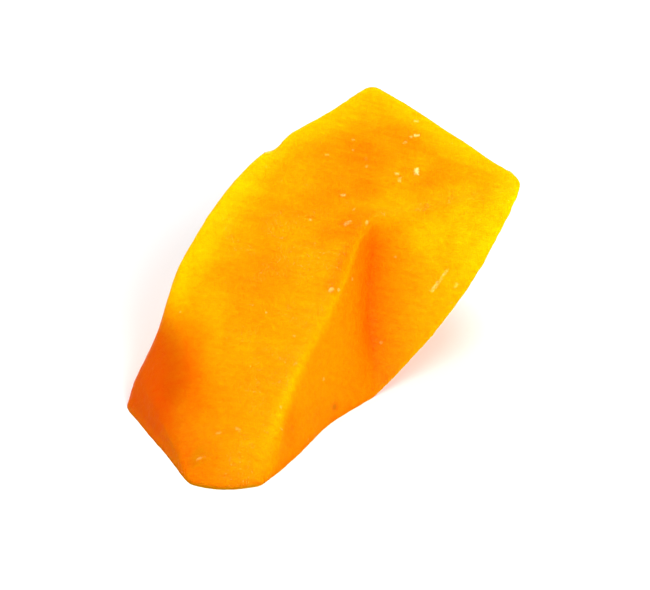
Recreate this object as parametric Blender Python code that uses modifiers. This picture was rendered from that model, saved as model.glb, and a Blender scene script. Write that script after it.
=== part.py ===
"""One thick-cut piece of ripe mango, peeled and ready to eat.

The piece is a wedge of fruit flesh lying on its widest flat cut. Straight
knife cuts make its top, front and back; the rounded left side follows the
outside of the fruit, and the right side is hollowed under the way the flesh
curves in towards the stone. A shallow valley runs up the front where two
knife cuts met at a slant, pinched in deeper halfway along.

Metres, +Z up. The origin is on the table, under the middle of the piece.
"""
import math

import bmesh
import bpy
from mathutils import Matrix, Vector

NAME = "mango_slice"
MM = 0.001

# ---- driving dimensions, millimetres and degrees --------------------------
BLOCK = 120.0                       # raw block that the knife starts from

# rounded sides of the fruit: centre and radius of each ball
RIND_CENTRE = (54.71, -22.71, -14.5)  # outside of the fruit, left and back
RIND_RADIUS = 80.0
BELLY_CENTRE = (-31.19, 4.59, 46.8)   # underside of the right lobe
BELLY_RADIUS = 60.0
BALL_SEGMENTS = 192

# knife cuts: which way the cut face looks (azimuth, elevation, degrees) and
# how far it lies from the origin, with the flesh behind it
CUTS = {
    "front_top":  (-90.00, 54.24, 14.031),
    "crown":      (-76.91, 62.41, 16.465),
    "left_end":   (-154.89, 19.28, 22.134),
    "back_right": (55.16, 11.98, 24.140),
    "back_left":  (128.50, 8.02, 15.366),
}
# the valley in the front: the flesh that lies in front of both of these
# slanting cuts at once is taken away
VALLEY = {
    "valley_left":  (-34.16, 13.39, 7.174),
    "valley_right": (-72.11, 21.44, 5.952),
}
BED_AZ_EL = (0.0, -90.0)            # the flat that it rests on

# how far each cut edge is rounded over (width of the rounding), by the two
# cuts that meet there; the rest take the default
ROUND_DEFAULT = 0.40
ROUND_EDGES = {
    ("front_top", "left_end"): 2.6,
    ("crown", "valley_right"): 1.8,
    ("front_top", "valley_left"): 0.9,
    ("back_left", "back_right"): 1.5,
    ("front_top", "crown"): 0.9,
}
ROUND_STEPS = 3

# the pinch that deepens the valley halfway along and fades out at its ends
PINCH_LENGTH = 21.0
PINCH_WIDTH = 5.6
PINCH_DEPTH = 2.2                   # below the bottom of the valley
PINCH_LIFT = 1.0                    # its widest part stands this far clear
PINCH_MIDDLE = 0.47                 # how far down the valley its middle is


# ---- helpers ---------------------------------------------------------------
def facing(azimuth, elevation):
    """Unit vector that looks along an azimuth and elevation in degrees."""
    a, e = math.radians(azimuth), math.radians(elevation)
    return Vector((math.cos(e) * math.cos(a), math.cos(e) * math.sin(a), math.sin(e)))


def link(obj, collection):
    for used in list(obj.users_collection):
        used.objects.unlink(obj)
    collection.objects.link(obj)
    return obj


def cut_away(bm, normal, distance_mm):
    """Knife cut: takes off what lies in front of the plane and closes it."""
    geom = bm.verts[:] + bm.edges[:] + bm.faces[:]
    res = bmesh.ops.bisect_plane(
        bm, geom=geom, dist=1e-7, plane_co=normal * distance_mm * MM,
        plane_no=normal, clear_outer=True, clear_inner=False)
    rim = [e for e in res["geom_cut"] if isinstance(e, bmesh.types.BMEdge)]
    bmesh.ops.edgeloop_fill(bm, edges=rim)
    bmesh.ops.recalc_face_normals(bm, faces=bm.faces[:])


def block(name, cuts, collection):
    """A cube trimmed by knife cuts, each one (normal, distance)."""
    bm = bmesh.new()
    bmesh.ops.create_cube(bm, size=BLOCK * MM)
    for normal, distance in cuts:
        cut_away(bm, normal, distance)
    mesh = bpy.data.meshes.new(name)
    bm.to_mesh(mesh)
    bm.free()
    obj = bpy.data.objects.new(name, mesh)
    collection.objects.link(obj)
    return obj


def ball(name, centre, radius, turn, collection):
    """A finely divided ball, its poles turned away from where it is used."""
    bpy.ops.mesh.primitive_uv_sphere_add(
        segments=BALL_SEGMENTS, ring_count=BALL_SEGMENTS // 2,
        radius=radius * MM, location=[c * MM for c in centre], rotation=turn)
    obj = link(bpy.context.active_object, collection)
    obj.name = obj.data.name = name
    return obj


def as_guide(obj):
    obj.hide_render = True
    obj.display_type = "WIRE"
    return obj


def boolean(target, tool, operation):
    mod = target.modifiers.new(tool.name, "BOOLEAN")
    mod.operation = operation
    mod.object = tool
    mod.solver = "EXACT"
    return mod


def face_owner(normal, names):
    """Name of the cut whose face looks the way this normal does."""
    best = max(names, key=lambda k: names[k].dot(normal))
    return best if names[best].dot(normal) > 0.999 else None


def valley_line(left, right):
    """A point on the line where the two valley cuts meet, and its run."""
    n1, n2 = facing(*left[:2]), facing(*right[:2])
    run = n1.cross(n2).normalized()
    if run.z > 0:
        run = -run
    # the point on both cuts that is nearest the origin
    d1, d2, dot = left[2] * MM, right[2] * MM, n1.dot(n2)
    k = 1.0 - dot * dot
    point = n1 * ((d1 - d2 * dot) / k) + n2 * ((d2 - d1 * dot) / k)
    return point, run, n1, n2


# ---- the piece ---------------------------------------------------------------
def build():
    for obj in list(bpy.data.objects):
        bpy.data.objects.remove(obj, do_unlink=True)

    parts = bpy.data.collections.new(NAME)
    tools = bpy.data.collections.new("cutters")
    scene = bpy.context.scene
    scene.collection.children.link(parts)
    scene.collection.children.link(tools)

    names = {k: facing(v[0], v[1]) for k, v in {**CUTS, **VALLEY}.items()}
    names["bed"] = facing(*BED_AZ_EL)

    # 1. straight knife cuts, resting on the bed
    cuts = [(names[k], CUTS[k][2]) for k in CUTS] + [(names["bed"], 0.0)]
    flesh = block(NAME, cuts, parts)

    # 2. the valley: a block that keeps only what is in front of both slants
    taken = [(-names[k], -VALLEY[k][2]) for k in VALLEY]
    wedge = as_guide(block("valley_wedge", taken, tools))
    boolean(flesh, wedge, "DIFFERENCE")
    settle(flesh)

    # 3. knife edges rounded over, each by its own width
    weigh_edges(flesh.data, names)
    bevel = flesh.modifiers.new("edge_round", "BEVEL")
    bevel.limit_method = "WEIGHT"
    bevel.offset_type = "OFFSET"
    bevel.width = max(ROUND_EDGES.values()) * MM
    bevel.segments = ROUND_STEPS
    bevel.profile = 0.5
    bevel.use_clamp_overlap = True
    bevel.miter_outer = "MITER_SHARP"

    # 4. the rounded sides of the fruit
    rind = as_guide(ball("rind_ball", RIND_CENTRE, RIND_RADIUS, (0.0, 0.0, 0.0), tools))
    belly = as_guide(ball("belly_ball", BELLY_CENTRE, BELLY_RADIUS, (0.0, math.radians(38.0), 0.0), tools))
    boolean(flesh, rind, "INTERSECT")
    boolean(flesh, belly, "INTERSECT")

    # 5. the pinch at the bottom of the valley
    boolean(flesh, as_guide(pinch_lens(tools)), "DIFFERENCE")

    flesh.data.materials.clear()
    flesh.data.materials.append(mango_flesh())
    flesh.data.shade_smooth()
    flesh.data.set_sharp_from_angle(angle=math.radians(20.0))
    return flesh


def settle(obj):
    """Turns the modifiers so far into plain mesh, so edges can be told apart."""
    deps = bpy.context.evaluated_depsgraph_get()
    mesh = bpy.data.meshes.new_from_object(obj.evaluated_get(deps))
    old = obj.data
    obj.modifiers.clear()
    obj.data = mesh
    bpy.data.meshes.remove(old)
    mesh.name = obj.name
    bm = bmesh.new()
    bm.from_mesh(mesh)
    bmesh.ops.remove_doubles(bm, verts=bm.verts[:], dist=0.00008)
    bmesh.ops.dissolve_limit(bm, angle_limit=math.radians(0.5), verts=bm.verts[:], edges=bm.edges[:])
    bm.to_mesh(mesh)
    bm.free()


def weigh_edges(mesh, names):
    """Rounding of each convex knife edge, as a bevel weight."""
    widest = max(ROUND_EDGES.values())
    bm = bmesh.new()
    bm.from_mesh(mesh)
    layer = bm.edges.layers.float.new("bevel_weight_edge")
    for edge in bm.edges:
        if len(edge.link_faces) != 2 or not edge.is_convex:
            continue
        pair = tuple(sorted(str(face_owner(f.normal, names)) for f in edge.link_faces))
        width = ROUND_DEFAULT
        for key, value in ROUND_EDGES.items():
            if tuple(sorted(key)) == pair:
                width = value
        edge[layer] = width / widest
    bm.to_mesh(mesh)
    bm.free()


def pinch_lens(collection):
    """A long four-sided ball, one edge down, set along the valley line."""
    point, run, n1, n2 = valley_line(VALLEY["valley_left"], VALLEY["valley_right"])
    top = point + run * ((facing(*CUTS["front_top"][:2]).dot(-point) + CUTS["front_top"][2] * MM)
                         / facing(*CUTS["front_top"][:2]).dot(run))
    foot = point + run * (-point.z / run.z)
    middle = top.lerp(foot, PINCH_MIDDLE)
    out = (n1 + n2).normalized()
    side = run.cross(out).normalized()
    bpy.ops.mesh.primitive_uv_sphere_add(segments=4, ring_count=24, radius=1.0)
    lens = link(bpy.context.active_object, collection)
    lens.name = lens.data.name = "pinch_lens"
    size = Matrix.Diagonal((PINCH_WIDTH * MM / 2, (PINCH_DEPTH + PINCH_LIFT) * MM,
                            PINCH_LENGTH * MM / 2, 1.0))
    frame = Matrix((side, out, run)).transposed().to_4x4()
    frame.translation = middle + out * PINCH_LIFT * MM
    lens.data.transform(frame @ size)
    if frame.determinant() < 0:
        lens.data.flip_normals()
    return lens


def mango_flesh():
    mat = bpy.data.materials.new("mango_flesh")
    mat.use_nodes = True
    bsdf = mat.node_tree.nodes["Principled BSDF"]
    bsdf.inputs["Base Color"].default_value = (1.0, 0.37, 0.012, 1.0)
    bsdf.inputs["Roughness"].default_value = 0.34
    bsdf.inputs["Metallic"].default_value = 0.0
    mat.diffuse_color = (1.0, 0.37, 0.012, 1.0)
    return mat


build()
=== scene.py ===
"""A thick-cut piece of ripe mango: the fine surface, material, light and camera."""

import math

import bmesh
import bpy
import numpy as np
from mathutils import Matrix, Vector


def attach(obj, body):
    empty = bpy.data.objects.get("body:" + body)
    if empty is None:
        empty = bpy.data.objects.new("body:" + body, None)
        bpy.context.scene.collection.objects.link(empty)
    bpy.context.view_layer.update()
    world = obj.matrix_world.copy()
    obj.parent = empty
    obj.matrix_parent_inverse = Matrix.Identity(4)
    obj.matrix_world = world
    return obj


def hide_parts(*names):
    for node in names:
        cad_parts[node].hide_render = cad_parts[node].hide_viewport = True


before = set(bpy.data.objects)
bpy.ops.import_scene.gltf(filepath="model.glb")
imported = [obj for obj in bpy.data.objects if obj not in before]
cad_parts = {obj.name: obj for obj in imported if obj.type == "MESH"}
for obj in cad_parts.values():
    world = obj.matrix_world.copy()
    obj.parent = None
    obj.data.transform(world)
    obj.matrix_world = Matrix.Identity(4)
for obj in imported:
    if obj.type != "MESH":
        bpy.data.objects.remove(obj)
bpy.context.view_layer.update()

MM = 0.001

# ---- where things are on the piece, millimetres ------------------------------
RIND_CENTRE = np.array((54.71, -22.71, -14.5))     # ball of the fruit's outside
RIND_RADIUS = 80.0
BELLY_CENTRE = np.array((-31.19, 4.59, 46.8))      # ball of the hollow underside
BELLY_RADIUS = 60.0


def facing(azimuth, elevation):
    a, e = math.radians(azimuth), math.radians(elevation)
    return np.array((math.cos(e) * math.cos(a), math.cos(e) * math.sin(a), math.sin(e)))


CUTS = {                                            # face direction, distance
    "front_top": (facing(-90.00, 54.24), 14.031),
    "crown": (facing(-76.91, 62.41), 16.465),
    "left_end": (facing(-154.89, 19.28), 22.134),
    "back_right": (facing(55.16, 11.98), 24.140),
    "back_left": (facing(128.50, 8.02), 15.366),
    "valley_left": (facing(-34.16, 13.39), 7.174),
    "valley_right": (facing(-72.11, 21.44), 5.952),
}


def meet(a, b, c):
    """The corner where three cuts meet."""
    n = np.array([CUTS[k][0] for k in (a, b, c)])
    d = np.array([CUTS[k][1] for k in (a, b, c)])
    return np.linalg.solve(n, d)


CREASE_TOP = meet("front_top", "valley_left", "valley_right")
CREASE_RUN = np.cross(CUTS["valley_left"][0], CUTS["valley_right"][0])
CREASE_RUN /= np.linalg.norm(CREASE_RUN)
if CREASE_RUN[2] > 0:
    CREASE_RUN = -CREASE_RUN
CREASE_LENGTH = -CREASE_TOP[2] / CREASE_RUN[2]


# ---- smooth noise, the same every run ------------------------------------------
def lattice(ix, iy, iz, seed):
    """A repeatable value from -1 to 1 for each whole-number point."""
    h = (ix.astype(np.uint64) * np.uint64(73856093)
         ^ iy.astype(np.uint64) * np.uint64(19349663)
         ^ iz.astype(np.uint64) * np.uint64(83492791)
         ^ np.uint64(seed * 2654435761 % 4294967296))
    h &= np.uint64(0xFFFFFFFF)
    h ^= h >> np.uint64(15)
    h = h * np.uint64(2246822519) & np.uint64(0xFFFFFFFF)
    h ^= h >> np.uint64(13)
    h = h * np.uint64(3266489917) & np.uint64(0xFFFFFFFF)
    h ^= h >> np.uint64(16)
    return h.astype(np.float64) / 2147483647.5 - 1.0


def noise(p, size, seed):
    """Smooth value noise with features about `size` mm across."""
    q = np.asarray(p) / size + 1000.0
    i = np.floor(q).astype(np.int64)
    f = q - i
    f = f * f * f * (f * (f * 6 - 15) + 10)
    out = 0.0
    for dx in (0, 1):
        for dy in (0, 1):
            for dz in (0, 1):
                w = (np.where(dx, f[:, 0], 1 - f[:, 0])
                     * np.where(dy, f[:, 1], 1 - f[:, 1])
                     * np.where(dz, f[:, 2], 1 - f[:, 2]))
                out = out + w * lattice(i[:, 0] + dx, i[:, 1] + dy, i[:, 2] + dz, seed)
    return out


def fbm(p, size, seed, octaves=3, gain=0.5):
    total, amp, norm = 0.0, 1.0, 0.0
    for k in range(octaves):
        total = total + amp * noise(p, size / 2 ** k, seed + 17 * k)
        norm += amp
        amp *= gain
    return total / norm


def ramp(x, lo, hi):
    t = np.clip((x - lo) / (hi - lo), 0.0, 1.0)
    return t * t * (3 - 2 * t)


# ---- the fine surface ------------------------------------------------------------
def read(mesh):
    n = len(mesh.vertices)
    co = np.empty(n * 3)
    mesh.vertices.foreach_get("co", co)
    no = np.empty(n * 3)
    mesh.vertices.foreach_get("normal", no)
    return co.reshape(n, 3), no.reshape(n, 3)


def write(mesh, co):
    mesh.vertices.foreach_set("co", co.ravel())
    mesh.update()


def apply_all(obj):
    deps = bpy.context.evaluated_depsgraph_get()
    mesh = bpy.data.meshes.new_from_object(obj.evaluated_get(deps))
    old = obj.data
    obj.modifiers.clear()
    obj.data = mesh
    bpy.data.meshes.remove(old)


FIBRES = (-11.0, -8.0)                              # which way the fibres run
VOXEL = 0.27
CUT_LOW = 0.8                                       # walls above this come from the CAD solid
STUB = 1.8                                          # and are carried on this far down from there

# valley: across it, out of it, and along its bottom line
CREASE_OUT = CUTS["valley_left"][0] + CUTS["valley_right"][0]
CREASE_OUT /= np.linalg.norm(CREASE_OUT)
CREASE_SIDE = np.cross(CREASE_OUT, CREASE_RUN)
CREASE_SIDE /= np.linalg.norm(CREASE_SIDE) * math.copysign(1.0, CREASE_SIDE[0])
FOLD_DEPTH = 2.3
FOLD_LEFT, FOLD_RIGHT = 2.6, 3.2                    # how fast its walls level out
FOLD_SHIFT = 0.7                                    # its bottom lies this far to the right
FOLD_ROUND = 0.9                                    # radius of its bottom
FOOT_HOLLOW = (2.2, -10.5, 0.0)                     # where the face beside it is hollowed
WALL_HOLLOW = (-2.3, -11.5, 8.0)
RIDGE_HOLLOW = (-5.0, -16.8, 4.8)
FRONT_FOOT = -11.0                                  # middle of the front's bottom edge, in x

# small dents: place, reach and depth
DENTS = (
    ((-5.9, 10.5, 24.5), (1.0, 1.8, 1.2), 0.52),    # nick where the knife turned at the rear corner
    ((-20.6, -3.5, 9.8), (3.2, 5.5, 5.5), 1.25),    # the rounded side is flatter towards the left end
    ((-8.6, 6.5, 22.6), (1.0, 1.0, 1.0), 0.10),
    ((8.9, 5.9, 20.9), (2.2, 1.4, 1.4), 0.12),
    ((1.2, -9.1, 1.4), (0.6, 0.6, 0.6), 0.20),
    ((-12.0, -12.5, 8.6), (1.6, 1.1, 1.1), 0.08),
    ((-20.9, 2.0, 9.0), (2.4, 2.4, 2.4), 0.16),
    ((-2.0, 21.0, 12.0), (2.6, 2.6, 1.8), 0.18),
    ((15.5, 12.0, 13.0), (1.8, 1.8, 2.4), 0.15),
)


# loose bits of flesh that stand up and catch the light, painted pale as glints: one end, the way they lie and how far,
# radius, how pale the painted glint is, all in millimetres
BITS = (
    ((10.33, 8.40, 21.62), (0.03, 0.42, 0.22), 0.24, 0.72),
    ((10.27, 13.00, 23.97), (0.22, 0.02, 0.00), 0.20, 0.55),
    ((9.73, 12.68, 23.88), (0.05, 0.10, 0.05), 0.16, 0.28),
    ((9.00, 11.95, 23.58), (0.16, 0.10, 0.05), 0.17, 0.22),
    ((8.00, 8.08, 21.73), (0.24, 0.05, 0.03), 0.18, 0.32),
    ((8.40, 7.30, 21.30), (0.05, 0.30, 0.15), 0.17, 0.20),
    ((10.23, 14.72, 24.86), (0.20, -0.06, 0.00), 0.18, 0.22),
    ((1.80, 5.00, 20.89), (0.45, 0.06, 0.03), 0.18, 0.22),
    ((2.20, 1.95, 18.70), (0.60, 0.30, 0.20), 0.22, 0.22),
    ((4.87, 2.01, 18.74), (0.10, 0.12, 0.08), 0.20, 0.22),
    ((0.20, 9.60, 23.44), (0.12, 0.00, 0.00), 0.18, 0.16),
    ((21.45, 10.62, 21.43), (0.18, 0.00, 0.00), 0.20, 0.30),
    ((0.62, -4.60, 13.98), (0.20, 0.18, 0.14), 0.24, 0.34),
    ((-6.45, 9.87, 24.40), (0.34, 0.18, 0.03), 0.26, 0.50),
    ((12.08, 1.42, 10.27), (1.67, 1.33, 1.93), 0.20, 0.26),
    ((14.81, 2.38, 10.46), (0.12, 0.10, 0.14), 0.20, 0.16),
    ((-14.13, -21.05, 2.13), (0.70, 0.20, 0.12), 0.22, 0.14),
    ((-11.96, -18.57, 3.92), (0.30, 0.05, 0.05), 0.22, 0.12),
    ((-9.77, -18.30, 4.12), (0.25, -0.10, -0.08), 0.22, 0.12),
)


def round_max(a, b, k):
    """The higher of two heights, rounded over where they cross: a cut edge."""
    h = np.maximum(k - np.abs(a - b), 0.0) / k
    return np.maximum(a, b) + h * h * k * 0.25


def round_min(a, b, k):
    return -round_max(-a, -b, k)


def blob(p, centre, radius):
    """1 at a place on the surface, falling smoothly to 0 around it."""
    return np.exp(-((p - np.asarray(centre)) ** 2).sum(1) / radius ** 2)


def solid(p):
    """Height over the piece's surface in millimetres, below 0 inside it."""
    f = {k: p @ n - d for k, (n, d) in CUTS.items()}

    # the valley between two slanting cuts, folded in deeper halfway along
    r = p - CREASE_TOP
    u = r @ CREASE_SIDE
    v = np.clip((r @ CREASE_RUN) / CREASE_LENGTH, 0.0, 1.0)
    shape = np.sin(np.pi * v ** 0.92) ** 1.15
    w = u - FOLD_SHIFT * shape
    away = np.sqrt(w * w + FOLD_ROUND ** 2) - FOLD_ROUND
    across = np.exp(-away / np.where(w < 0, FOLD_LEFT, FOLD_RIGHT))
    valley = round_min(f["valley_left"], f["valley_right"], 0.4 + 1.2 * shape) + FOLD_DEPTH * shape * across

    # the face left of the valley is hollowed towards its foot
    valley = (valley + 0.85 * blob(p, FOOT_HOLLOW, 6.0) + 0.75 * blob(p, WALL_HOLLOW, 6.5)
              + 0.38 * blob(p, RIDGE_HOLLOW, 3.2))

    rind = np.linalg.norm(p - RIND_CENTRE, axis=1) - RIND_RADIUS
    belly = np.linalg.norm(p - BELLY_CENTRE, axis=1) - BELLY_RADIUS - 0.15

    # the sloping front bows a little towards its bottom corners
    low = 1.0 - ramp(p[:, 2], 0.0, 9.0)
    t = (p[:, 0] - FRONT_FOOT) / 4.0
    bow = np.where(t < 0, t * t / (1.0 + 0.45 * t ** 4), 0.40 * np.minimum(t * t, 2.0))
    front = f["front_top"] + low * (bow - 0.12)

    high = ramp(p[:, 2], 1.0, 8.0)
    g = round_max(front, f["left_end"] + 0.18 * low, 0.55 + 6.95 * ramp(p[:, 2], 0.1, 5.0))
    g = round_max(g, f["crown"], 1.2)
    g = round_max(g, valley, 0.38 + 0.42 * high)
    back = round_max(f["back_left"], f["back_right"], 1.2)
    g = round_max(g, back, 0.7)
    g = round_max(g, rind, 0.7)
    g = round_max(g, belly, 0.32 + 0.48 * high)
    for centre, reach, depth in DENTS:
        g = g + depth * np.exp(-(((p - np.array(centre)) / np.array(reach)) ** 2).sum(1))
    return g


def relief(p):
    """Unevenness laid over the surface, millimetres outward."""
    move = 0.20 * fbm(p, 12.0, 3, 2) + 0.06 * fbm(p, 3.4, 9, 2)
    # long fibres run across the piece
    along = facing(*FIBRES)
    side = np.cross(along, facing(-90, 54))
    side /= np.linalg.norm(side)
    third = np.cross(along, side)
    q = np.stack([p @ along / 9.0, p @ side, p @ third], 1)
    move += 0.046 * fbm(q, 0.85, 21, 2)
    move += 0.013 * noise(p, 0.55, 31)              # fine moist grain
    return move


def bumps(p):
    """Height of the loose bits, each a short uneven ridge."""
    q = p + 0.10 * np.stack([noise(p, 0.35, 51 + k) for k in range(3)], 1)
    out = np.zeros(len(p))
    for a, way, radius, _ in seated:
        way = np.array(way)
        off = q - a
        part = np.clip(off @ way / (way @ way), 0.0, 1.0)
        near = ((off - part[:, None] * way) ** 2).sum(1) / (1.2 * radius) ** 2
        out += 0.45 * radius * np.exp(-np.minimum(near, 30.0))
    return out


def bare(p):
    return round_max(solid(p) - relief(p), CUT_LOW - STUB - p[:, 2], 0.3)


def surface(p):
    return bare(p) - bumps(p)


def slope(p, f0, height):
    step = 0.02
    g = np.empty_like(p)
    for k in range(3):
        q = p.copy()
        q[:, k] += step
        g[:, k] = (height(q) - f0) / step
    return g


def seat(points):
    """Moves places near the surface onto it."""
    p = np.array(points, dtype=float)
    for _ in range(8):
        f = bare(p)
        g = slope(p, f, bare)
        p = p - (f / np.maximum((g * g).sum(1), 0.05))[:, None] * g
    return p


seated = [(a, way, radius, pale_and_painted_light) for a, (_, way, radius, pale_and_painted_light) in zip(seat([b[0] for b in BITS]), BITS)]


def fine_copy(node, name):
    """An evenly meshed copy of the CAD solid in millimetres.

    Its walls are carried on a little below the table, to be cut off flat when
    they have their final shape.
    """
    bm = bmesh.new()
    bm.from_mesh(node.data)
    bm.transform(node.matrix_world)
    bm.transform(Matrix.Scale(1.0 / MM, 4))
    bmesh.ops.remove_doubles(bm, verts=bm.verts[:], dist=0.002)
    bmesh.ops.bisect_plane(bm, geom=bm.verts[:] + bm.edges[:] + bm.faces[:], dist=1e-5,
                           plane_co=(0, 0, CUT_LOW), plane_no=(0, 0, 1), clear_inner=True)
    rim = [e for e in bm.edges if e.is_boundary]
    verts = [g for g in bmesh.ops.extrude_edge_only(bm, edges=rim)["geom"] if isinstance(g, bmesh.types.BMVert)]
    at = np.array([v.co[:] for v in verts])
    n = slope(at, solid(at), solid)
    flat = np.linalg.norm(n[:, :2], axis=1)
    out = n[:, :2] / flat[:, None] * (STUB * n[:, 2] / flat)[:, None]
    for v, shift in zip(verts, out):
        v.co = (v.co[0] + shift[0], v.co[1] + shift[1], CUT_LOW - STUB)
    bmesh.ops.edgeloop_fill(bm, edges=[e for e in bm.edges if e.is_boundary])
    bmesh.ops.recalc_face_normals(bm, faces=bm.faces[:])
    mesh = bpy.data.meshes.new(name)
    bm.to_mesh(mesh)
    bm.free()
    obj = bpy.data.objects.new(name, mesh)
    bpy.context.scene.collection.objects.link(obj)
    mod = obj.modifiers.new("even", "REMESH")
    mod.mode = "VOXEL"
    mod.voxel_size = VOXEL
    mod.adaptivity = 0.0
    apply_all(obj)
    for reach in (0.95, 0.70):
        refine(obj.data, [a + np.array(way) * k for a, way, _, _ in seated for k in (0.0, 0.5, 1.0)], reach)
    return obj


def refine(mesh, places, reach):
    """Splits the faces near each place in four."""
    bm = bmesh.new()
    bm.from_mesh(mesh)
    bm.faces.ensure_lookup_table()
    mid = np.array([f.calc_center_median()[:] for f in bm.faces])
    close = np.zeros(len(mid), dtype=bool)
    for c in places:
        close |= ((mid - np.array(c)) ** 2).sum(1) < reach ** 2
    edges = {e for i in np.nonzero(close)[0] for e in bm.faces[i].edges}
    edges = sorted(edges, key=lambda e: e.index)
    bmesh.ops.subdivide_edges(bm, edges=edges, cuts=1, use_grid_fill=True)
    bmesh.ops.triangulate(bm, faces=[f for f in bm.faces if len(f.verts) > 4])
    bm.to_mesh(mesh)
    bm.free()


def cut_flat(mesh):
    """Takes off what is below the table and closes the flat bottom."""
    bm = bmesh.new()
    bm.from_mesh(mesh)
    bmesh.ops.bisect_plane(bm, geom=bm.verts[:] + bm.edges[:] + bm.faces[:], dist=0.004,
                           plane_co=(0, 0, 0), plane_no=(0, 0, 1), clear_inner=True)
    rim = [e for e in bm.edges if e.is_boundary]
    bmesh.ops.edgeloop_fill(bm, edges=rim)
    for e in rim:
        e.smooth = False
    bmesh.ops.recalc_face_normals(bm, faces=bm.faces[:])
    bm.to_mesh(mesh)
    bm.free()


def settle_on_surface(obj, rounds=9):
    """Draws each vertex onto the surface and evens out the mesh along it."""
    mesh = obj.data
    co, _ = read(mesh)
    edges = np.empty(len(mesh.edges) * 2, dtype=np.int64)
    mesh.edges.foreach_get("vertices", edges)
    a, b = edges[0::2], edges[1::2]
    count = np.bincount(np.concatenate([a, b]), minlength=len(co))[:, None]
    for k in range(rounds):
        f = surface(co)
        g = slope(co, f, surface)
        size = np.maximum((g * g).sum(1), 0.05)
        move = -(f / size)[:, None] * g
        long = np.linalg.norm(move, axis=1)
        move *= np.minimum(1.0, 0.8 / np.maximum(long, 1e-9))[:, None]
        co = co + move
        if k < rounds - 3:
            n = g / np.sqrt(size)[:, None]
            mean = np.stack([np.bincount(a, co[b, i], len(co)) + np.bincount(b, co[a, i], len(co))
                             for i in range(3)], 1) / count
            drift = mean - co
            drift -= n * (drift * n).sum(1)[:, None]
            co = co + 0.6 * drift
    write(mesh, co)


# ---- material --------------------------------------------------------------------
class Tree:
    """Short hand for building a node tree."""

    def __init__(self, mat):
        self.t = mat.node_tree
        self.n = self.t.nodes
        self.x = -200

    def add(self, kind, **props):
        node = self.n.new(kind)
        self.x -= 40
        node.location = (self.x, 0)
        for k, v in props.items():
            setattr(node, k, v)
        return node

    def link(self, a, b):
        self.t.links.new(a, b)

    def put(self, node, values):
        for k, v in values.items():
            sock = node.inputs[k]
            if isinstance(v, bpy.types.NodeSocket):
                self.link(v, sock)
            else:
                sock.default_value = v
        return node

    def math(self, op, a, b=None, clamp=False):
        node = self.add("ShaderNodeMath", operation=op, use_clamp=clamp)
        self.put(node, {0: a})
        if b is not None:
            self.put(node, {1: b})
        return node.outputs[0]

    def remap(self, value, lo, hi, to_lo=0.0, to_hi=1.0, smooth=True):
        node = self.add("ShaderNodeMapRange", interpolation_type="SMOOTHSTEP" if smooth else "LINEAR")
        self.put(node, {"Value": value, "From Min": lo, "From Max": hi, "To Min": to_lo, "To Max": to_hi})
        return node.outputs["Result"]

    def noise(self, vector, scale, detail=2.0, rough=0.5, distort=0.0):
        node = self.add("ShaderNodeTexNoise", noise_dimensions="3D")
        self.put(node, {"Vector": vector, "Scale": scale, "Detail": detail, "Roughness": rough, "Distortion": distort})
        return node.outputs["Fac"]

    def mix(self, fac, a, b, blend="MIX"):
        node = self.add("ShaderNodeMix", data_type="RGBA", blend_type=blend)
        node.inputs["Factor"].default_value = 0.0
        self.put(node, {0: fac, 6: a, 7: b})
        return node.outputs[2]

    def plane(self, p, key):
        """Height over a cut, negative inside."""
        normal, dist = CUTS[key]
        dot = self.add("ShaderNodeVectorMath", operation="DOT_PRODUCT")
        self.put(dot, {0: p, 1: tuple(normal)})
        return self.math("SUBTRACT", dot.outputs["Value"], float(dist))

    def ball(self, p, centre, radius):
        """Depth inside a ball's surface."""
        dist = self.add("ShaderNodeVectorMath", operation="DISTANCE")
        self.put(dist, {0: p, 1: tuple(float(c) for c in centre)})
        return self.math("SUBTRACT", radius, dist.outputs["Value"])

    def dot(self, p, way):
        node = self.add("ShaderNodeVectorMath", operation="DOT_PRODUCT")
        self.put(node, {0: p, 1: tuple(float(c) for c in way)})
        return node.outputs["Value"]

    def blob(self, p, centre, radius, strength):
        """A soft patch around a place."""
        dist = self.add("ShaderNodeVectorMath", operation="DISTANCE")
        self.put(dist, {0: p, 1: centre})
        return self.remap(dist.outputs["Value"], radius * 0.15, radius, strength, 0.0)

    def streak(self, p, a, b, radius, strength):
        """A soft line between two places."""
        a, b = np.array(a), np.array(b)
        way = b - a
        off = self.add("ShaderNodeVectorMath", operation="SUBTRACT")
        self.put(off, {0: p, 1: tuple(a)})
        part = self.math("DIVIDE", self.dot(off.outputs[0], way), float(way @ way), clamp=True)
        reach = self.add("ShaderNodeVectorMath", operation="SCALE")
        self.put(reach, {0: tuple(way), "Scale": part})
        dist = self.add("ShaderNodeVectorMath", operation="DISTANCE")
        self.put(dist, {0: off.outputs[0], 1: reach.outputs[0]})
        return self.remap(dist.outputs["Value"], radius * 0.15, radius, strength, 0.0)

    def times(self, *factors):
        out = factors[0]
        for f in factors[1:]:
            out = self.math("MULTIPLY", out, f)
        return out

    def most(self, *values):
        out = values[0]
        for v in values[1:]:
            out = self.math("MAXIMUM", out, v)
        return out


# flesh colours, from the palest rim to the reddest hollow; the palest also paints a glow along thin edges, the deep
# one partly paints shade, and the two reddest are painted shade
PALE_AND_GLOW = (1.0, 0.495, 0.0, 1.0)
GOLD = (1.0, 0.288, 0.0, 1.0)
DEEP_AND_SHADE = (1.0, 0.192, 0.0, 1.0)
SHADE_RED = (0.75, 0.096, 0.0, 1.0)
SHADE_EMBER = (0.71, 0.080, 0.0, 1.0)
AMBER = (0.90, 0.200, 0.0, 1.0)
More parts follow.
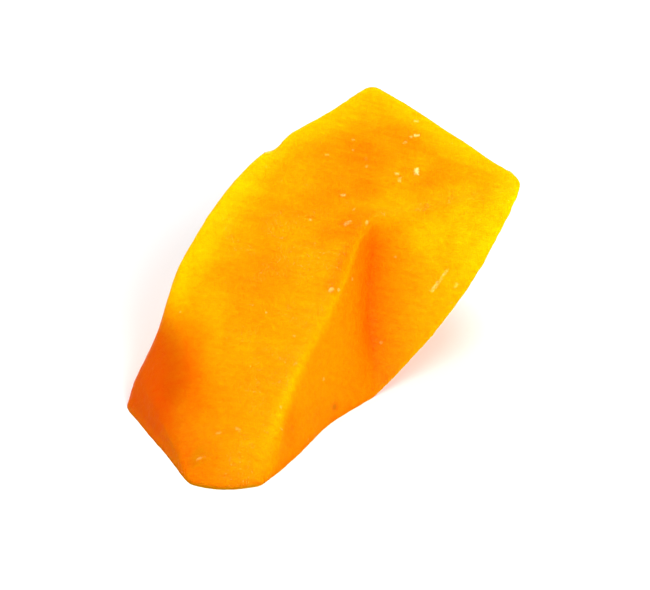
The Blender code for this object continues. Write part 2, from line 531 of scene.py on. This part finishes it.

# soft patches: place, radius, strength; the pale ones are partly the flesh's own tone and partly painted light, the
# deep ones partly its own tone and partly painted shade
PALE_AND_LIT_PATCHES = (
    ((17.2, 4.6, 16.2), 7.2, 0.50),
    ((5.2, 18.5, 27.3), 5.5, 0.50),
    ((22.0, 9.4, 20.6), 5.0, 0.75),
    ((-7.4, 9.2, 24.0), 5.0, 0.55),
    ((9.5, 5.0, 19.6), 3.4, 0.28),
    ((-11.0, 1.5, 17.5), 6.0, 0.20),
    ((-11.5, -11.5, 9.0), 4.0, 0.10),
    ((12.2, 3.8, 16.0), 5.0, 0.42),
    ((-13.7, -5.4, 13.4), 4.5, 0.24),
    ((-3.4, 6.6, 22.0), 4.5, 0.24),
)
# soft pale streaks, partly the flesh's own tone and partly painted highlight: one end, the other, radius, strength
PALE_AND_SHEEN_STREAKS = (
    ((7.2, 4.8, 20.3), (11.0, 9.2, 22.1), 1.6, 0.16),
    ((12.5, 1.6, 10.4), (14.3, 3.0, 12.5), 0.55, 0.45),
    ((14.6, 2.2, 10.9), (15.3, 2.8, 11.6), 0.40, 0.30),
    ((-12.1, -6.6, 12.5), (-11.7, -11.5, 9.0), 0.9, 0.20),
    ((-11.7, -11.5, 9.0), (-11.4, -18.2, 4.2), 0.8, 0.16),
)
DEEP_AND_SHADE_PATCHES = (
    ((4.2, 9.8, 23.1), 5.6, 0.80),
    ((11.6, 6.8, 20.6), 5.5, 0.66),
    ((-0.4, 5.6, 21.2), 7.0, 0.62),
    ((-7.0, -3.1, 15.0), 5.5, 0.55),
    ((-2.7, -9.6, 10.4), 6.0, 0.06),
    ((-9.0, -16.0, 5.6), 6.0, 0.22),
    ((-4.4, -19.6, 1.4), 4.5, 0.60),
    ((3.2, 1.8, 18.7), 4.2, 0.85),
    ((-8.2, -6.6, 12.5), 4.5, 0.30),
    ((-0.6, 10.0, 23.7), 4.2, 0.50),
    ((8.9, 12.3, 23.8), 4.2, 0.55),
    ((0.6, 1.2, 18.1), 3.0, 0.62),
    ((4.2, 6.1, 21.5), 3.6, 0.80),
)


def flesh_colour(t, p):
    """Golden flesh, paler by the outside of the fruit, with a painted glow and painted highlights along its thin
    edges, painted glints on loose bits, and painted shade, redder, in its hollows and on its left end.
    """
    height = t.dot(p, (0.0, 0.0, 1.0))
    front = t.plane(p, "front_top")
    crown = t.plane(p, "crown")
    lid = t.most(front, crown)

    # cloudy golden flesh, deeper orange in patches, partly its own tone and partly painted shade; the line left of the
    # valley's top is painted shade
    cloud = t.remap(t.noise(p, 0.10, 2.0, 0.5), 0.42, 0.66, 0.0, 0.45)
    deep_and_shade = t.most(cloud, *[t.blob(p, *patch) for patch in DEEP_AND_SHADE_PATCHES],
                  t.streak(p, (3.6, 0.9, 18.2), (1.0, -4.2, 14.3), 1.6, 0.80))

    # down in the valley, painted shade: the narrow left wall deeper orange, then the fold itself redder
    u = t.math("SUBTRACT", t.dot(p, CREASE_SIDE), float(CREASE_TOP @ CREASE_SIDE) + FOLD_SHIFT)
    v = t.math("SUBTRACT", t.dot(p, CREASE_RUN), float(CREASE_TOP @ CREASE_RUN))
    out = t.math("SUBTRACT", t.dot(p, CREASE_OUT), float(CREASE_TOP @ CREASE_OUT))
    below = t.times(t.remap(lid, -0.3, -1.6, 0.0, 1.0), t.remap(out, -8.0, -5.0, 0.0, 1.0))
    wall_shade = t.times(below, t.remap(u, -0.5, 1.0, 1.0, 0.0), t.remap(front, -16.0, -8.0, 0.25, 0.85))
    deep_and_shade = t.most(deep_and_shade, wall_shade)
    base = t.mix(deep_and_shade, GOLD, DEEP_AND_SHADE)

    # paler towards the outside of the fruit, partly its own tone and partly a painted glow, and painted light along
    # its thin edges: a painted glow on the crest and the lobe, a painted highlight along the ridge and the lip
    rind = t.times(t.remap(t.ball(p, RIND_CENTRE, RIND_RADIUS), 0.3, 5.0, 0.88, 0.0), t.remap(lid, -9.0, -0.8, 0.40, 1.0))
    back = t.most(t.plane(p, "back_left"), t.plane(p, "back_right"))
    crest_glow = t.times(t.remap(back, -4.2, -0.2, 0.0, 0.62), t.remap(lid, -5.0, -0.6, 0.0, 1.0))
    lobe_glow = t.remap(t.ball(p, BELLY_CENTRE, BELLY_RADIUS), 0.3, 6.0, 0.75, 0.0)
    lobe_glow = t.times(lobe_glow, t.remap(height, 6.0, 15.0, 0.10, 1.0), t.remap(u, 1.0, 5.0, 0.0, 1.0))
    ridge_highlight = t.times(t.remap(front, -0.60, -0.20, 0.0, 1.0), t.remap(t.plane(p, "valley_left"), -2.1, -0.70, 0.0, 0.40),
                    t.remap(height, 1.0, 6.0, 0.6, 1.0), t.remap(height, 4.5, 13.0, 1.0, 0.0))
    lip_highlight = t.times(t.remap(crown, -1.0, -0.1, 0.0, 1.0), t.remap(t.plane(p, "valley_right"), -1.8, -0.3, 0.0, 0.25),
                  t.remap(u, 0.0, 3.5, 0.0, 1.0))
    pale_and_painted_light = t.most(rind, crest_glow, lobe_glow, ridge_highlight, lip_highlight, *[t.blob(p, *patch) for patch in PALE_AND_LIT_PATCHES],
                  *[t.streak(p, *line) for line in PALE_AND_SHEEN_STREAKS])
    base = t.mix(pale_and_painted_light, base, PALE_AND_GLOW)

    # painted shade: reddest on the left end and in the fold, browner along the front's foot
    painted_end_shade = t.remap(t.plane(p, "left_end"), -5.0, -0.2, 0.0, 0.70)
    painted_end_shade = t.times(painted_end_shade, t.remap(height, 13.4, 7.6, 0.0, 1.0), t.remap(t.dot(p, (0.0, 1.0, 0.0)), -11.0, -20.0, 1.0, 0.50))
    right = t.math("POWER", t.remap(u, 0.0, 6.6, 0.95, 0.0, smooth=False), 2.2)
    left = t.math("POWER", t.remap(u, -8.5, 0.0, 0.0, 1.0, smooth=False), 2.0)
    painted_fold_shade = t.times(t.math("MULTIPLY", right, left), below,
                   t.remap(v, -0.6, 0.22 * CREASE_LENGTH, 0.0, 1.0),
                   t.remap(v, 0.64 * CREASE_LENGTH, 1.07 * CREASE_LENGTH, 1.0, 0.0))
    base = t.mix(t.most(painted_end_shade, painted_fold_shade), base, SHADE_RED)
    # painted shade: darkest red at the far left end, a little lighter in two places low on it
    painted_far_shade = t.times(t.remap(t.plane(p, "left_end"), -5.0, -0.8, 0.0, 1.0), t.remap(t.dot(p, (-1.0, 0.0, 0.0)), 10.5, 18.5, 0.0, 0.92),
                  t.remap(height, 13.2, 7.6, 0.0, 1.0))
    base = t.mix(painted_far_shade, base, SHADE_EMBER)
    base = t.mix(t.blob(p, (-15.4, -19.0, 4.2), 7.5, 0.85), base, (0.82, 0.178, 0.0, 1.0))
    base = t.mix(t.most(t.blob(p, (-13.0, -17.6, 4.3), 4.6, 0.62), t.blob(p, (-16.2, -14.9, 5.8), 3.4, 0.42)),
                 base, (0.95, 0.255, 0.0, 1.0))
    # browner there as painted shade, and darker and browner along the foot beside it
    x, y = t.dot(p, (-1.0, 0.0, 0.0)), t.dot(p, (0.0, -1.0, 0.0))
    end_shade_and_foot_brown = t.most(t.times(t.remap(x, 11.5, 15.5, 0.0, 0.42), t.remap(x, 19.0, 16.2, 0.15, 1.0),
                           t.remap(height, 14.4, 9.0, 0.0, 1.0)),
                   t.times(t.remap(x, 7.5, 13.0, 0.0, 1.0), t.remap(height, 5.0, 1.2, 0.0, 1.0), t.remap(front, -1.6, -0.5, 0.0, 1.0)))
    end_shade_and_foot_brown = t.times(end_shade_and_foot_brown, t.remap(y, 1.0, 6.0, 0.0, 1.0))
    base = t.mix(end_shade_and_foot_brown, base, (0.58, 1.0, 1.0, 1.0), blend="MULTIPLY")
    foot = t.times(t.remap(height, 4.0, 0.0, 0.0, 0.55), t.remap(front, -2.0, -0.2, 0.0, 1.0))
    base = t.mix(foot, base, AMBER)
    # painted shade: redder in the fold towards its foot
    base = t.mix(t.times(below, t.remap(height, 5.0, 0.5, 0.0, 0.26)), base, SHADE_RED)
    base = t.mix(t.times(below, t.blob(p, (-3.9, -16.8, 3.6), 3.6, 0.36)), base, SHADE_RED)
    base = t.mix(t.remap(height, 1.3, 0.1, 0.0, 0.40), base, (1.0, 0.165, 0.0, 1.0))
    base = t.mix(t.remap(height, 0.55, 0.05, 0.0, 0.60), base, (1.0, 0.115, 0.0, 1.0))
    smudge = t.blob(p, (1.2, -9.1, 1.4), 0.90, 0.85)
    base = t.mix(smudge, base, (0.40, 0.120, 0.002, 1.0))

    # fibres, and a fine grain of pale and dark cells
    along = facing(*FIBRES)
    turn = Vector(along).to_track_quat("X", "Z").to_euler()
    lie = t.add("ShaderNodeMapping", vector_type="TEXTURE")
    t.put(lie, {"Vector": p, "Rotation": tuple(turn), "Scale": (7.0, 1.0, 1.0)})
    fibre = t.noise(lie.outputs[0], 1.55, 3.0, 0.6)
    grain = t.noise(p, 1.9, 3.0, 0.65)
    fine = t.noise(p, 5.5, 2.0, 0.6)
    blotch = t.noise(p, 0.50, 2.0, 0.5)
    tone = t.math("ADD", t.math("ADD", t.remap(fibre, 0.30, 0.70, -0.08, 0.08, smooth=False),
                                t.remap(blotch, 0.30, 0.70, -0.03, 0.03, smooth=False)),
                  t.math("ADD", t.remap(grain, 0.30, 0.70, -0.09, 0.09, smooth=False),
                         t.remap(fine, 0.30, 0.70, -0.06, 0.06, smooth=False)))
    tone = t.math("ADD", tone, 1.0)
    hue = t.add("ShaderNodeCombineColor")
    t.put(hue, {0: 1.0, 1: tone, 2: tone})
    base = t.mix(1.0, base, hue.outputs[0], blend="MULTIPLY")

    # painted glints: the loose bits of flesh are painted nearly white
    jog = t.add("ShaderNodeTexNoise", noise_dimensions="3D")
    t.put(jog, {"Vector": p, "Scale": 3.2, "Detail": 1.0})
    rough = t.add("ShaderNodeVectorMath", operation="MULTIPLY_ADD")
    t.put(rough, {0: jog.outputs["Color"], 1: (0.5, 0.5, 0.5), 2: p})
    q = t.add("ShaderNodeVectorMath", operation="SUBTRACT")
    t.put(q, {0: rough.outputs[0], 1: (0.25, 0.25, 0.25)})
    q = q.outputs[0]
    bits_and_glints = t.most(*[t.streak(q, a, a + np.array(way), r * 1.45, k) for a, way, r, k in seated])
    # and here and there a painted glint, a fleck too small to stand up
    cell = t.add("ShaderNodeTexVoronoi", voronoi_dimensions="3D", feature="F1")
    t.put(cell, {"Vector": q, "Scale": 0.62})
    keep = t.add("ShaderNodeSeparateColor")
    t.put(keep, {0: cell.outputs["Color"]})
    fleck_glint = t.times(t.remap(cell.outputs["Distance"], 0.05, 0.15, 0.20, 0.0), t.remap(keep.outputs[0], 0.80, 0.96, 0.0, 1.0))
    bits_and_glints = t.most(bits_and_glints, fleck_glint)
    base = t.mix(bits_and_glints, base, (1.0, 0.80, 0.28, 1.0))
    return base, fibre, grain, fine, bits_and_glints


def flesh_material():
    mat = bpy.data.materials.new("mango_flesh")
    mat.use_nodes = True
    t = Tree(mat)
    bsdf = t.n["Principled BSDF"]
    coords = t.add("ShaderNodeTexCoord").outputs["Object"]
    mm = t.add("ShaderNodeVectorMath", operation="SCALE")
    t.put(mm, {0: coords, "Scale": 1000.0})
    p = mm.outputs[0]
    base, fibre, grain, fine, bits_and_glints = flesh_colour(t, p)
    t.link(base, bsdf.inputs["Base Color"])

    # moist: a film of juice that glints in small spots
    wet = t.noise(p, 1.5, 3.0, 0.7)
    t.link(t.remap(wet, 0.40, 0.65, 0.50, 0.34), bsdf.inputs["Roughness"])
    spots = t.times(t.remap(fine, 0.60, 0.70, 0.0, 1.0), t.remap(t.noise(p, 0.35, 1.0, 0.5), 0.46, 0.60, 0.0, 1.0),
                    t.remap(t.most(t.plane(p, "front_top"), t.plane(p, "crown")), -1.6, -0.5, 0.10, 1.0))
    t.link(t.most(t.math("MULTIPLY", spots, 0.6), bits_and_glints), bsdf.inputs["Coat Weight"])
    bsdf.inputs["Coat Roughness"].default_value = 0.16
    bsdf.inputs["Coat IOR"].default_value = 1.40
    bsdf.inputs["Subsurface Weight"].default_value = 1.0
    bsdf.inputs["Subsurface Radius"].default_value = (0.50, 0.34, 0.12)
    bsdf.inputs["Subsurface Scale"].default_value = 0.0036
    bsdf.inputs["Specular IOR Level"].default_value = 0.015
    bsdf.inputs["IOR"].default_value = 1.38

    height = t.math("ADD", t.math("MULTIPLY", fibre, 0.6), t.math("ADD", grain, t.math("MULTIPLY", fine, 0.5)))
    bump = t.add("ShaderNodeBump")
    t.put(bump, {"Strength": 0.55, "Distance": 0.00022, "Height": height})
    t.link(bump.outputs[0], bsdf.inputs["Normal"])
    return mat


# ---- put it together -----------------------------------------------------------
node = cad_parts["mango_slice"]
flesh = fine_copy(node, "mango_flesh_piece")
settle_on_surface(flesh)
cut_flat(flesh.data)
flesh.data.transform(Matrix.Scale(MM, 4))
for poly in flesh.data.polygons:
    poly.use_smooth = True
flesh.data.materials.clear()
flesh.data.materials.append(flesh_material())
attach(flesh, "root")
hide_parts("mango_slice")


# ---- floor, light and camera --------------------------------------------------------
def floor():
    bpy.ops.mesh.primitive_plane_add(size=6.0, location=(0, 0, -0.00004))
    obj = bpy.context.active_object
    obj.name = "floor"
    mat = bpy.data.materials.new("pale_floor")
    mat.use_nodes = True
    b = mat.node_tree.nodes["Principled BSDF"]
    b.inputs["Base Color"].default_value = (0.93, 0.93, 0.93, 1.0)
    b.inputs["Roughness"].default_value = 0.9
    b.inputs["Specular IOR Level"].default_value = 0.0
    obj.data.materials.append(mat)


def softbox(name, azimuth, elevation, distance, size, watts, tint=(1, 1, 1)):
    light = bpy.data.lights.new(name, "AREA")
    light.shape = "DISK"
    light.size = size
    light.energy = watts
    light.color = tint
    obj = bpy.data.objects.new(name, light)
    bpy.context.scene.collection.objects.link(obj)
    a, e = math.radians(azimuth), math.radians(elevation)
    way = Vector((math.cos(e) * math.cos(a), math.cos(e) * math.sin(a), math.sin(e)))
    obj.location = way * distance + Vector((0, 0, 0.012))
    obj.rotation_euler = way.to_track_quat("Z", "Y").to_euler()


def camera():
    cam = bpy.data.cameras.new("camera")
    obj = bpy.data.objects.new("camera", cam)
    bpy.context.scene.collection.objects.link(obj)
    elevation = math.radians(30.0)
    away = Vector((0.0, -math.cos(elevation), math.sin(elevation)))
    target = Vector((0.0, -0.0006, 0.0110))
    obj.location = target + away * 0.700
    obj.rotation_euler = away.to_track_quat("Z", "Y").to_euler()
    cam.sensor_width = 36.0
    cam.lens = 345.0
    cam.clip_start = 0.05
    bpy.context.scene.camera = obj


def sky():
    world = bpy.data.worlds.new("studio")
    bpy.context.scene.world = world
    world.use_nodes = True
    back = world.node_tree.nodes["Background"]
    back.inputs["Color"].default_value = (1.0, 1.0, 1.0, 1.0)
    back.inputs["Strength"].default_value = 0.30


bpy.context.scene.view_settings.view_transform = "Standard"
bpy.context.scene.view_settings.look = "None"
floor()
sky()
softbox("key", -64, 34, 1.0, 0.45, 9.6)
softbox("top", -84, 66, 1.0, 0.60, 4.3)
softbox("back", 118, 46, 1.0, 0.90, 5.2)
camera()
